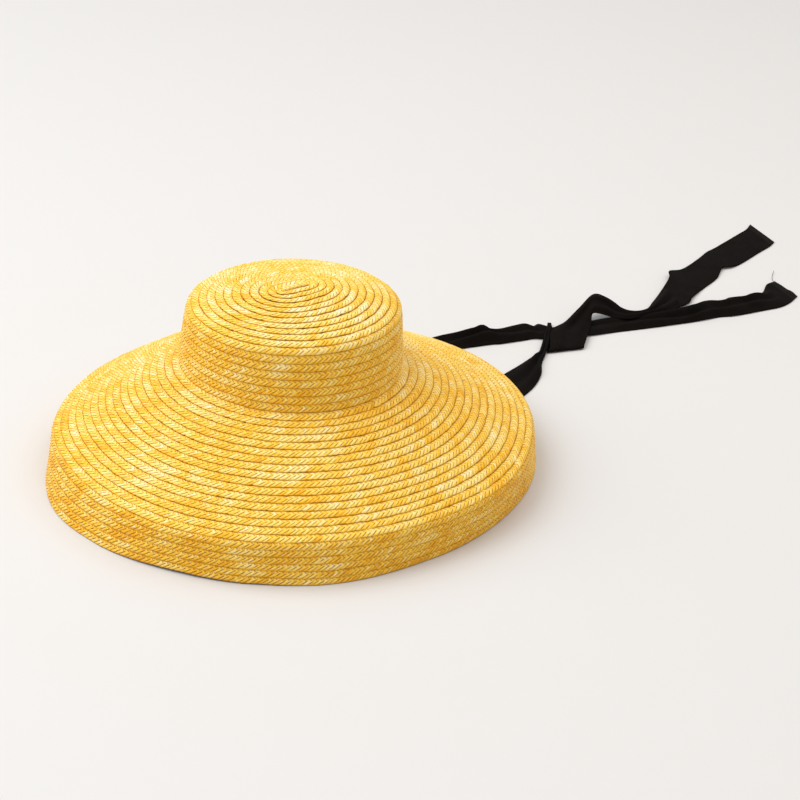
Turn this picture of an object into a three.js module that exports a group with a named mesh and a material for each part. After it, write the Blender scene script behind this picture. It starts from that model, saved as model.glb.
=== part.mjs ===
// Wide-brimmed straw hat with two cotton ties, lying on a surface.
// Millimetres, +Z up. The origin is on the surface, under the middle of the brim's hem.
// +Y is the back of the hat, where the ties run out, and -X is the wearer's left.
import * as THREE from 'three'

// Driving dimensions
const strawThickness = 2.2
const seamGap = 0.3
const segments = 72
const headLength = 194
const headWidth = 188
const wallTopLength = 189.6
const wallTopWidth = 171.8
const seamHeight = 97.4
const wallTopHeight = 148
const crownHeight = 169
const crownCentre = new THREE.Vector3(-6.5, -7.4, 0)
const creaseLength = 431.8
const creaseWidth = 378.4
const creaseHeight = 36.8
const hemLength = 450
const hemWidth = 381.8
const clothThickness = 1
const lyingHeight = 0.8
const stepsPerSection = 2

// Crown from the tip down to the seam. taper 0 is the size at the seam, 1 the size at the
// top of the wall, and reach is the share of that size, down to the flat oval of the tip.
const crownSections = [
  { name: 'flat oval', height: crownHeight, taper: 1, reach: 0.12 },
  { name: 'tip inner', height: 166.6, taper: 1, reach: 0.37 },
  { name: 'tip middle', height: 162.4, taper: 1, reach: 0.6 },
  { name: 'tip outer', height: 158.6, taper: 1, reach: 0.77 },
  { name: 'tip edge', height: 154.9, taper: 1, reach: 0.89 },
  { name: 'shoulder', height: 151.2, taper: 1, reach: 0.965 },
  { name: 'wall top', height: wallTopHeight - 1.5, taper: 1, reach: 0.997 },
  { name: 'wall high', height: 140, taper: 0.85, reach: 1 },
  { name: 'wall middle', height: 123, taper: 0.48, reach: 1 },
  { name: 'wall low', height: 104, taper: 0.1, reach: 1 },
  { name: 'seam', height: seamHeight + seamGap / 2, taper: 0, reach: 1 },
]

// Brim slope from the seam out to the crease. across runs from 0 at the seam to 1 at the
// crease, and rise is how far the straw lies above the straight slope.
const slopeSections = [
  { name: 'seam', across: 0, rise: -seamGap / 2 },
  { name: 'foot', across: 0.012, rise: -1.4 },
  { name: 'fillet', across: 0.045, rise: -1.2 },
  { name: 'slope inner', across: 0.12, rise: -0.2 },
  { name: 'slope quarter', across: 0.32, rise: 0.4 },
  { name: 'slope middle', across: 0.54, rise: 0.6 },
  { name: 'slope outer', across: 0.76, rise: 0.5 },
  { name: 'slope end', across: 0.93, rise: 0.2 },
  { name: 'crease', across: 0.99, rise: -0.6 },
]

// Turned-down rim from the crease to the hem. down runs from 0 to 1.
const rimSections = [
  { name: 'under crease', down: 0.1 },
  { name: 'rim middle', down: 0.5 },
  { name: 'hem', down: 1 },
]

// How the soft brim departs from a true oval, round the hat from +X towards +Y.
// crease and hem are millimetres outward, rise is how far the crease stands above its
// even height, and lift is how far the hem is off the surface.
const brimWave = [
  { angle: -180, crease: 2, hem: -1, rise: -2, lift: 0 },
  { angle: -150, crease: 2.6, hem: -3, rise: -1.8, lift: 0 },
  { angle: -125, crease: 2.4, hem: -1.5, rise: -1, lift: 0 },
  { angle: -98, crease: -1.8, hem: 3.4, rise: 0, lift: 0 },
  { angle: -82, crease: -1.8, hem: 1, rise: 0, lift: 0.4 },
  { angle: -60, crease: 1, hem: -0.8, rise: 0, lift: 2 },
  { angle: -42, crease: 2, hem: 1.6, rise: 0, lift: 1 },
  { angle: -25, crease: 1.6, hem: 4.4, rise: 0, lift: 0 },
  { angle: 0, crease: 0.5, hem: -0.4, rise: 0, lift: 0 },
  { angle: 24, crease: 4, hem: -1.6, rise: 0.6, lift: 0 },
  { angle: 50, crease: 0.8, hem: 0, rise: 1.2, lift: 0 },
  { angle: 80, crease: 1, hem: 0, rise: 2, lift: 2.4 },
  { angle: 130, crease: 0, hem: 0, rise: 0.6, lift: 2.4 },
  { angle: 155, crease: 0, hem: 0, rise: -1, lift: 0 },
]

// Ties: left and right edge of the cloth at each section, seen along the tie from its
// sewn end, and crest, how far the middle stands above the two edges.
const tieFarSections = [
  { at: 'sewn end', left: [-93.1, -25, 116], right: [-93.1, 11, 116], crest: 1.3 },
  { at: 'below the crown', left: [-95, -22, 92], right: [-95, 14, 92], crest: 0.8 },
  { at: 'half way down', left: [-103, -8, 52], right: [-89, 22, 52], crest: 0 },
  { at: 'near the surface', left: [-114, 24, 12], right: [-78, 34, 12], crest: 0 },
  { at: 'on the surface', left: [-117, 52, 0.8], right: [-77, 55, 0.8], crest: 0 },
  { at: 'under the brim', left: [-119, 125, 0.8], right: [-79, 127, 0.8], crest: 0 },
  { at: 'under the hem', left: [-120, 190, 0.8], right: [-82, 198, 0.8], crest: 0 },
  { at: 'past the hem', left: [-120, 246, 0.8], right: [-88, 256, 0.8], crest: 0 },
  { at: 'gathered', left: [-109, 290, 0.8], right: [-83, 282, 0.8], crest: 2.5 },
  { at: 'first pucker', left: [-112, 305, 2.4], right: [-79, 297, 0.8], crest: 2.4 },
  { at: 'after the pucker', left: [-105, 308, 1], right: [-77, 301, 0.8], crest: 2.2 },
  { at: 'gathered on', left: [-98, 334, 1], right: [-71, 326, 0.8], crest: 1.8 },
  { at: 'small pucker', left: [-95, 348, 2.6], right: [-68, 339, 1.4], crest: 1 },
  { at: 'before the knot', left: [-87, 354, 2.2], right: [-63, 346, 2], crest: 0.5 },
  { at: 'into the knot', left: [-88, 362, 2.3], right: [-61, 353, 2.3], crest: 0 },
  { at: 'in the knot', left: [-75, 369.5, 2.3], right: [-57, 363, 2.3], crest: 0 },
  { at: 'held in the knot', left: [-76, 383, 2.3], right: [-52, 375, 2.3], crest: 0 },
  { at: 'out of the knot', left: [-70, 400, 2.2], right: [-46, 389, 2.2], crest: 0 },
  { at: 'past the knot', left: [-66, 433, 0.8], right: [-38, 422, 0.8], crest: 0.6 },
  { at: 'long run', left: [-54, 477, 0.8], right: [-25, 469, 0.8], crest: 0.8 },
  { at: 'long run end', left: [-42, 524, 0.8], right: [-14, 515, 0.8], crest: 1.4 },
  { at: 'first wave', left: [-43, 547, 1.6], right: [-10, 539, 0.8], crest: 1.5 },
  { at: 'first dip', left: [-35, 559, 0.8], right: [-5, 552, 0.8], crest: 2 },
  { at: 'second wave', left: [-36, 580, 1.4], right: [-1, 572, 0.8], crest: 1.5 },
  { at: 'second dip', left: [-30, 592, 0.8], right: [1, 585, 0.8], crest: 2 },
  { at: 'third wave', left: [-32, 605, 1.4], right: [3, 597, 0.8], crest: 1.5 },
  { at: 'last dip', left: [-28, 618, 0.8], right: [5, 611, 0.8], crest: 1.2 },
  { at: 'last ripple', left: [-39, 637, 1.4], right: [3, 627, 0.8], crest: 0.6 },
  { at: 'hemmed end', left: [-41, 651, 0.8], right: [-4, 646, 0.8], crest: 0 },
]
const tieNearSections = [
  { at: 'sewn end', left: [80.1, 11, 116], right: [80.1, -25, 116], crest: 1.3 },
  { at: 'below the crown', left: [82, 14, 92], right: [82, -22, 92], crest: 0.8 },
  { at: 'half way down', left: [77, 24, 52], right: [91, -6, 52], crest: 0 },
  { at: 'near the surface', left: [63, 40, 12], right: [99, 34, 12], crest: 0 },
  { at: 'on the surface', left: [56, 60, 0.8], right: [93, 73, 0.8], crest: 0 },
  { at: 'under the brim', left: [28, 128, 0.8], right: [65, 142, 0.8], crest: 0 },
  { at: 'under the hem', left: [-11, 212, 0.8], right: [26, 226, 0.8], crest: 0 },
  { at: 'past the hem', left: [-26, 263, 0.8], right: [7, 273, 0.8], crest: 0 },
  { at: 'narrowing', left: [-33, 290, 0.8], right: [-8, 295, 0.8], crest: 1.2 },
  { at: 'bunched', left: [-40, 313, 0.9], right: [-25, 311, 1], crest: 1.2 },
  { at: 'pinched', left: [-42, 322, 2], right: [-34.5, 323.5, 2], crest: 0.6 },
  { at: 'climbing', left: [-47, 329, 3.2], right: [-43, 334, 3.2], crest: 0.3 },
  { at: 'over the far tie', left: [-56.5, 340, 4.1], right: [-53, 345, 4.1], crest: 0 },
  { at: 'over its edge', left: [-77.5, 364, 4.1], right: [-75, 367, 4.1], crest: 0 },
  { at: 'first turn', left: [-85.5, 372, 2.35], right: [-83.5, 375, 2.35], crest: 0 },
  { at: 'turned under', left: [-77.5, 364.5, 0.8], right: [-74.5, 370, 0.8], crest: 0 },
  { at: 'under the far tie', left: [-62, 350, 0.8], right: [-54, 374, 0.8], crest: 0 },
  { at: 'out again', left: [-41, 332, 0.8], right: [-30, 369, 0.8], crest: 0 },
  { at: 'second turn', left: [-38, 330, 2.35], right: [-27, 367, 2.35], crest: 0 },
  { at: 'turned over', left: [-41, 335, 3.9], right: [-31, 372, 3.9], crest: 0 },
  { at: 'gathered fold', left: [-67, 361, 5.9], right: [-39, 382, 4.2], crest: 0 },
  { at: 'broad fold', left: [-72, 382, 6.6], right: [-50, 395, 5], crest: 0 },
  { at: 'rising', left: [-79, 406, 12.5], right: [-58, 405, 7], crest: 0 },
  { at: 'ridge', left: [-85, 432, 20], right: [-66, 414, 11], crest: 1 },
  { at: 'falling', left: [-80, 443, 16], right: [-63, 427, 7.8], crest: 0.5 },
  { at: 'down', left: [-73, 452, 9.5], right: [-59, 435, 4.8], crest: 0 },
  { at: 'beside the far tie', left: [-64, 457, 4.4], right: [-49, 447, 4.2], crest: 0.6 },
  { at: 'gathered', left: [-56, 477, 3.6], right: [-45, 471, 3.6], crest: 1 },
  { at: 'fanning out', left: [-66, 498, 3.2], right: [-42, 494, 3.6], crest: 1 },
  { at: 'second panel', left: [-82, 527, 4.4], right: [-44, 517, 3.2], crest: 1 },
  { at: 'fold back', left: [-98, 552, 5.8], right: [-49, 535, 2.4], crest: 1 },
  { at: 'corner', left: [-107, 560, 6], right: [-54, 542, 2.4], crest: 1 },
  { at: 'last panel', left: [-108, 579, 3], right: [-65, 568, 1], crest: 1 },
  { at: 'creased', left: [-121, 618, 1], right: [-77, 602, 1], crest: 0.5 },
  { at: 'ripple', left: [-128, 638, 1.6], right: [-90, 624, 3], crest: 0.5 },
  { at: 'curled corner', left: [-131, 650, 1], right: [-88, 632, 2.6], crest: 0 },
  { at: 'after the corner', left: [-136, 669, 0.8], right: [-89, 646, 0.8], crest: 0 },
  { at: 'run out', left: [-145, 703, 0.8], right: [-101, 692, 0.8], crest: 0.5 },
  { at: 'hem line', left: [-150, 721, 0.8], right: [-106, 712, 0.8], crest: 0 },
  { at: 'hemmed end', left: [-157, 734, 0.8], right: [-111, 724, 0.8], crest: 0 },
]

// Materials
const strawLook = { color: 0xd9a83a, roughness: 0.55, metalness: 0 }
const cottonLook = { color: 0x16120f, roughness: 0.9, metalness: 0 }

// Smooth step between two rows of a table
function ease(from, to, share) {
  return from + (to - from) * share * share * (3 - 2 * share)
}

// Value of one column of the brim wave at a turn of the hat
function waveAt(column, turn) {
  const first = brimWave[0]
  const closing = { ...first, angle: first.angle + 360 }
  const rows = [...brimWave, closing]
  const degrees = THREE.MathUtils.euclideanModulo(
    THREE.MathUtils.radToDeg(turn) - first.angle, 360) + first.angle
  const index = rows.findIndex((row) => row.angle > degrees)
  const row = rows[index - 1]
  const next = rows[index]
  return ease(row[column], next[column], (degrees - row.angle) / (next.angle - row.angle))
}

// Point of a ring at a turn of the hat: an oval, moved and pushed outward
function ringPoint(turn, halfWidth, halfLength, height, centre, push) {
  const x = centre.x + (halfWidth + push) * Math.cos(turn)
  const y = centre.y + (halfLength + push) * Math.sin(turn)
  return new THREE.Vector3(x, y, height)
}

function crownPoint(section, turn) {
  const halfWidth = THREE.MathUtils.lerp(headWidth, wallTopWidth, section.taper) / 2
  const halfLength = THREE.MathUtils.lerp(headLength, wallTopLength, section.taper) / 2
  const centre = { x: 0, y: 0 }
  const reach = section.reach
  return ringPoint(turn, halfWidth * reach, halfLength * reach, section.height, centre, 0)
}

function slopePoint(section, turn) {
  const across = section.across
  const halfWidth = THREE.MathUtils.lerp(headWidth, creaseWidth, across) / 2
  const halfLength = THREE.MathUtils.lerp(headLength, creaseLength, across) / 2
  const straight = THREE.MathUtils.lerp(seamHeight, creaseHeight, across)
  const height = straight + section.rise + across * across * waveAt('rise', turn)
  const centre = crownCentre.clone().multiplyScalar(1 - across)
  const push = across * across * waveAt('crease', turn)
  return ringPoint(turn, halfWidth, halfLength, height, centre, push)
}

function rimPoint(section, turn) {
  const down = section.down
  const halfWidth = THREE.MathUtils.lerp(creaseWidth, hemWidth, down) / 2
  const halfLength = THREE.MathUtils.lerp(creaseLength, hemLength, down) / 2
  const push = THREE.MathUtils.lerp(waveAt('crease', turn), waveAt('hem', turn), down)
  const crease = creaseHeight + waveAt('rise', turn)
  const height = THREE.MathUtils.lerp(crease, waveAt('lift', turn), down)
  return ringPoint(turn, halfWidth, halfLength, height, { x: 0, y: 0 }, push)
}

// Turns of the hat, from -X round through -Y, in steps of one facet
function turnAt(index) {
  return -Math.PI + (index * 2 * Math.PI) / segments
}

// Inner points of a wall at one turn: each outer point moved in square to the wall.
// At a row that is cut level the point moves in level.
function innerPoints(profileAt, count, turn, levelRows) {
  const small = 0.001
  const up = new THREE.Vector3(0, 0, 1)
  const inner = []
  for (let row = 0; row < count; row += 1) {
    const point = profileAt(row, turn)
    const around = profileAt(row, turn + small).sub(profileAt(row, turn - small)).normalize()
    const toHere = point.clone().sub(profileAt(Math.max(row - 1, 0), turn)).normalize()
    const onward = profileAt(Math.min(row + 1, count - 1), turn).sub(point).normalize()
    const down = toHere.add(onward).normalize()
    const inward = new THREE.Vector3()
    if (levelRows.includes(row)) inward.crossVectors(up, around)
    else inward.crossVectors(around, down)
    inner.push(point.addScaledVector(inward.normalize(), strawThickness))
  }
  return inner
}

// Outer and inner rows of points of a wall, from its top section to its bottom one
function wallRows(profileAt, count, levelRows) {
  const outer = []
  const inner = []
  for (let row = 0; row < count; row += 1) {
    outer.push([])
    inner.push([])
  }
  for (let index = 0; index < segments; index += 1) {
    const turn = turnAt(index)
    const wallIn = innerPoints(profileAt, count, turn, levelRows)
    for (let row = 0; row < count; row += 1) {
      outer[row].push(profileAt(row, turn))
      inner[row].push(wallIn[row])
    }
  }
  return [...inner, ...outer.reverse()]
}

// Faces between rows of points, each row a closed loop of the same count. Past the
// upper side of a flat loop the quads are cut along the other diagonal, so that both
// sides of a thin wall bend alike.
function bandFaces(rowCount, loop, closes, upperSide = loop) {
  const faces = []
  const last = closes ? rowCount : rowCount - 1
  for (let row = 0; row < last; row += 1) {
    const here = row * loop
    const next = ((row + 1) % rowCount) * loop
    for (let i = 0; i < loop; i += 1) {
      const j = (i + 1) % loop
      const cut = i < upperSide ? next + j : next + i
      const start = i < upperSide ? here + i : here + j
      faces.push(here + i, here + j, cut)
      faces.push(start, next + j, next + i)
    }
  }
  return faces
}

// Faces that close the first and the last row with one point in the middle of each
function tipFaces(rowCount, loop) {
  const start = rowCount * loop
  const end = start + 1
  const lastRow = start - loop
  const faces = []
  for (let i = 0; i < loop; i += 1) {
    const j = (i + 1) % loop
    faces.push(start, j, i)
    faces.push(end, lastRow + i, lastRow + j)
  }
  return faces
}

// Faces that close the first and the last row straight across, from its upper points
// to the lower ones opposite them
function cutFaces(rowCount, loop) {
  const lastRow = (rowCount - 1) * loop
  const faces = []
  for (let i = 0; i < loop / 2 - 1; i += 1) {
    const j = i + 1
    const below = loop - 1 - i
    const belowNext = loop - 1 - j
    faces.push(i, belowNext, j)
    faces.push(i, below, belowNext)
    faces.push(lastRow + i, lastRow + j, lastRow + belowNext)
    faces.push(lastRow + i, lastRow + belowNext, lastRow + below)
  }
  return faces
}

function geometryFrom(points, faces) {
  const geometry = new THREE.BufferGeometry().setFromPoints(points)
  geometry.setIndex(faces)
  geometry.computeVertexNormals()
  return geometry
}

function namedMesh(name, geometry, look) {
  const mesh = new THREE.Mesh(geometry, new THREE.MeshStandardMaterial(look))
  mesh.name = name
  return mesh
}

// Crown: wall and tip, one piece of sewn straw, open at the seam
function crown() {
  const profileAt = (row, turn) => crownPoint(crownSections[row], turn)
  const rows = wallRows(profileAt, crownSections.length, [crownSections.length - 1])
  const tipIn = new THREE.Vector3(0, 0, crownHeight - strawThickness)
  const tipOut = new THREE.Vector3(0, 0, crownHeight)
  const faces = [...bandFaces(rows.length, segments, false), ...tipFaces(rows.length, segments)]
  const mesh = namedMesh('crown', geometryFrom([...rows.flat(), tipIn, tipOut], faces), strawLook)
  mesh.position.copy(crownCentre)
  return mesh
}

// Brim: the sloping part and the turned-down rim, one piece from the seam to the hem
function brim() {
  const slopeCount = slopeSections.length
  const count = slopeCount + rimSections.length
  const profileAt = (row, turn) => {
    if (row < slopeCount) return slopePoint(slopeSections[row], turn)
    return rimPoint(rimSections[row - slopeCount], turn)
  }
  const rows = wallRows(profileAt, count, [0, count - 1])
  const faces = bandFaces(rows.length, segments, true)
  return namedMesh('brim', geometryFrom(rows.flat(), faces), strawLook)
}

// A point of a tie is never lower than cloth that lies on the surface
function offSurface(point) {
  point.z = Math.max(point.z, lyingHeight)
  return point
}

// Tie: a flat strip of cotton through its sections, with one row of points on each side
function tie(name, sections) {
  const edge = (key) => {
    const points = sections.map((section) => new THREE.Vector3(...section[key]))
    return new THREE.CatmullRomCurve3(points, false, 'centripetal')
  }
  const left = edge('left')
  const right = edge('right')
  const steps = (sections.length - 1) * stepsPerSection
  const middleAt = (share) => {
    return offSurface(left.getPoint(share).add(right.getPoint(share)).multiplyScalar(0.5))
  }
  const small = 0.25 / steps
  const rows = []
  for (let step = 0; step <= steps; step += 1) {
    const share = step / steps
    const row = Math.min(Math.floor(step / stepsPerSection), sections.length - 2)
    const part = step / stepsPerSection - row
    const crest = THREE.MathUtils.lerp(sections[row].crest, sections[row + 1].crest, part)
    const before = middleAt(Math.max(share - small, 0))
    const along = middleAt(Math.min(share + small, 1)).sub(before)
    const leftPoint = offSurface(left.getPoint(share))
    const rightPoint = offSurface(right.getPoint(share))
    const across = rightPoint.clone().sub(leftPoint)
    const up = new THREE.Vector3().crossVectors(across, along).normalize()
    const middle = middleAt(share).addScaledVector(up, crest)
    const half = clothThickness / 2
    const upper = [leftPoint, middle, rightPoint].map((p) => p.clone().addScaledVector(up, half))
    const lower = [rightPoint, middle, leftPoint].map((p) => p.clone().addScaledVector(up, -half))
    rows.push([...upper, ...lower])
  }
  const loop = rows[0].length
  const band = bandFaces(rows.length, loop, false, loop / 2)
  const faces = [...band, ...cutFaces(rows.length, loop)]
  return namedMesh(name, geometryFrom(rows.flat(), faces), cottonLook)
}

const hat = new THREE.Group()
const straw = new THREE.Group()
straw.add(crown(), brim())
const ties = new THREE.Group()
ties.add(tie('tie_far', tieFarSections), tie('tie_near', tieNearSections))
hat.add(straw, ties)

export default hat
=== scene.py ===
import bmesh
import bpy
import math
import numpy as np
from mathutils import Matrix, Vector, noise


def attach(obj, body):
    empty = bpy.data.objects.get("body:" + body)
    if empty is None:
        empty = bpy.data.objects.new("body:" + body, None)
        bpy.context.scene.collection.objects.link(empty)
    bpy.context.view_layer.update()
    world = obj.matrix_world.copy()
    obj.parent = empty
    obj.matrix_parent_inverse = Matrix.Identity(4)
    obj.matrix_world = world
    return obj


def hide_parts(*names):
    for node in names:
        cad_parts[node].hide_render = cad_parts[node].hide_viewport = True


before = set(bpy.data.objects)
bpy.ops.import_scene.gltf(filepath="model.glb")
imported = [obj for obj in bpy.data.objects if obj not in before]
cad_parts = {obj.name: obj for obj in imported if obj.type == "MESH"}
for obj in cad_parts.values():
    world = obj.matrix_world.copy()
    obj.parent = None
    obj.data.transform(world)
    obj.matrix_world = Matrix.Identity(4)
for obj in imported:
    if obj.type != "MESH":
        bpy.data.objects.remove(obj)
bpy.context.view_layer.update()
bpy.ops.object.select_all(action="DESELECT")
print("stage: frame loaded")

# Camera, at the photograph's angle to the hat
shot = {
    "aim": (-0.0377, 0.1472, 0.0),
    "distance": 2.2086,
    "azimuth": 48.9,
    "elevation": 28.33,
    "roll": 5.3,
    "lens": 108,
    "sensor": 36,
    "nearest": 0.1,
    "farthest": 50,
}


def placeCamera(shot):
    azimuth = math.radians(shot["azimuth"])
    elevation = math.radians(shot["elevation"])
    back = Vector((
        math.cos(elevation) * math.sin(azimuth),
        -math.cos(elevation) * math.cos(azimuth),
        math.sin(elevation),
    ))
    bpy.ops.object.camera_add(location=Vector(shot["aim"]) + back * shot["distance"])
    camera = bpy.context.object
    camera.name = "hatCamera"
    camera.data.lens = shot["lens"]
    camera.data.sensor_width = shot["sensor"]
    camera.data.clip_start = shot["nearest"]
    camera.data.clip_end = shot["farthest"]
    camera.rotation_mode = "QUATERNION"
    roll = Matrix.Rotation(math.radians(shot["roll"]), 3, "Z")
    turn = back.to_track_quat("Z", "Y").to_matrix() @ roll
    camera.rotation_quaternion = turn.to_quaternion()
    bpy.context.scene.camera = camera


placeCamera(shot)
print("stage: camera placed")


# Shader helpers. A Value is a socket that takes part in plain sums, and each sum adds its
# Math node.
class Value:
    def __init__(self, tree, socket):
        self.tree = tree
        self.socket = socket

    def calc(self, operation, *items):
        made = self.tree.nodes.new("ShaderNodeMath")
        made.operation = operation
        for slot, item in zip(made.inputs, items):
            if isinstance(item, Value):
                self.tree.links.new(item.socket, slot)
            else:
                slot.default_value = item
        return Value(self.tree, made.outputs[0])

    def __add__(self, other):
        return self.calc("ADD", self, other)

    def __radd__(self, other):
        return self.calc("ADD", other, self)

    def __sub__(self, other):
        return self.calc("SUBTRACT", self, other)

    def __rsub__(self, other):
        return self.calc("SUBTRACT", other, self)

    def __mul__(self, other):
        return self.calc("MULTIPLY", self, other)

    def __rmul__(self, other):
        return self.calc("MULTIPLY", other, self)

    def __gt__(self, other):
        return self.calc("GREATER_THAN", self, other)

    def floor(self):
        return self.calc("FLOOR", self)

    def part(self):
        return self.calc("FRACT", self)

    def wave(self):
        return self.calc("SINE", self)

    def size(self):
        return self.calc("ABSOLUTE", self)


# One material, with its nodes made by type
class Finish:
    def __init__(self, name):
        self.material = bpy.data.materials.new(name)
        self.material.use_nodes = True
        self.tree = self.material.node_tree
        self.shader = self.tree.nodes["Principled BSDF"]

    # a node of a kind, with its settings first and then what goes into its sockets
    def node(self, kind, settings, sockets, output=0):
        made = self.tree.nodes.new(kind)
        for key, setting in settings.items():
            if key == "stops":
                ramp = made.color_ramp.elements
                while len(ramp) < len(setting):
                    ramp.new(1.0)
                for stop, (place, colour) in zip(ramp, setting):
                    stop.position = place
                    stop.color = (*colour, 1)
            else:
                setattr(made, key, setting)
        for key, item in sockets.items():
            if isinstance(item, Value):
                self.tree.links.new(item.socket, made.inputs[key])
            else:
                made.inputs[key].default_value = item
        return Value(self.tree, made.outputs[output])

    # what goes into the shader's own sockets
    def give(self, **sockets):
        for key, item in sockets.items():
            name = key.replace("_", " ").title().replace("Ior", "IOR")
            if isinstance(item, Value):
                self.tree.links.new(item.socket, self.shader.inputs[name])
            else:
                self.shader.inputs[name].default_value = item

    # a colour laid over another one, as strongly as its share says
    def cover(self, share, under, over):
        return self.node("ShaderNodeMix", {"data_type": "RGBA"},
                         {0: share, 6: under, 7: (*over, 1)}, 2)

    def ramp(self, share, stops):
        return self.node("ShaderNodeValToRGB", {"stops": stops}, {0: share})

    # 0 up to low, top from high on, and a soft step between
    def smooth(self, value, low, high, top=1.0):
        return self.node("ShaderNodeMapRange", {"interpolation_type": "SMOOTHSTEP"},
                         {0: value, 1: low, 2: high, 3: 0.0, 4: top})

    def noise(self, place, scale, detail):
        return self.node("ShaderNodeTexNoise", {},
                         {"Vector": place, "Scale": scale, "Detail": detail})

    def bump(self, height, strength, distance):
        return self.node("ShaderNodeBump", {},
                         {"Height": height, "Strength": strength, "Distance": distance})

    def objectPlace(self):
        return self.node("ShaderNodeTexCoord", {}, {}, 3)

    def uv(self, layer):
        both = self.node("ShaderNodeUVMap", {"uv_map": layer}, {})
        return [self.node("ShaderNodeSeparateXYZ", {}, {0: both}, axis) for axis in (0, 1)]

    def vector(self, x, y, z):
        return self.node("ShaderNodeCombineXYZ", {}, {0: x, 1: y, 2: z})


# Mesh from arrays of points and quads, with one UV point for each point
def meshPiece(name, points, faces, uvs, layer, material):
    mesh = bpy.data.meshes.new(name)
    faces = np.asarray(faces, np.int32)
    corners = faces.shape[1]
    mesh.vertices.add(len(points))
    mesh.vertices.foreach_set("co", np.asarray(points, np.float32).ravel())
    mesh.loops.add(faces.size)
    mesh.loops.foreach_set("vertex_index", faces.ravel())
    mesh.polygons.add(len(faces))
    mesh.polygons.foreach_set("loop_start", np.arange(0, faces.size, corners, dtype=np.int32))
    mesh.polygons.foreach_set("use_smooth", np.ones(len(faces), bool))
    uvLayer = mesh.uv_layers.new(name=layer)
    uvLayer.data.foreach_set("uv", np.asarray(uvs, np.float32)[faces.ravel()].ravel())
    mesh.update(calc_edges=True)
    mesh.materials.append(material)
    piece = bpy.data.objects.new(name, mesh)
    bpy.context.scene.collection.objects.link(piece)
    return piece


# Closed tube through an array of points, loops by points of a loop, with a flat cap at
# each end
def tubePiece(name, points, uvs, layer, material):
    loops, sides = points.shape[:2]
    here = np.arange(loops * sides).reshape(loops, sides)
    lipShadow = np.roll(here, -1, axis=1)
    quads = np.stack([here[:-1], lipShadow[:-1], lipShadow[1:], here[1:]], -1).reshape(-1, 4)
    piece = meshPiece(name, points.reshape(-1, 3), quads, uvs.reshape(-1, 2), layer, material)
    work = bmesh.new()
    work.from_mesh(piece.data)
    work.verts.ensure_lookup_table()
    work.faces.new([work.verts[i] for i in here[0][::-1]])
    work.faces.new([work.verts[i] for i in here[-1]])
    work.to_mesh(piece.data)
    work.free()
    return piece


# Cotton ties
cottonLook = {
    "black": (0.0022, 0.0015, 0.0012),
    "worn": (0.0085, 0.0060, 0.0048),
    "blackTo": 0.3,
    "wornFrom": 0.85,
    "hem": 0.010,
    "stitch": 0.0007,
    "hemDust": (0.020, 0.016, 0.013),
    "endDust": 0.6,
    "bandDust": 0.35,
    "roughness": 0.94,
    "specular": 0.08,
    "threads": 2600,
    # noise: scale, detail
    "dust": (60.0, 5.0),
    "fine": (900.0, 2.0),
    # how much each one moves the tone
    "dustTone": 0.5,
    "fineTone": 0.5,
    "weaveTone": 0.1,
    # relief
    "bumpStrength": 0.6,
    "bumpDepth": 0.00012,
    "weaveHeight": 0.5,
    "stitchHeight": 4.0,
}
clothShape = {
    "thickness": 0.0009,
    "flatWidth": 0.040,
    "step": 0.0024,
    "measuring": 40,  # points to a section while its length is measured
    "columns": 28,
    "lying": 0.0008,
    "folds": 2,
    "fullness": 2.2,
    # how the gathers drift: how often to the metre, how much
    "lean": (9, 0.22),
    # how they vary: how often to the metre, how often across, how much
    "vary": (22, 3, 0.8),
    "crumple": (55, 2.2, 0.35),
}
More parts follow.
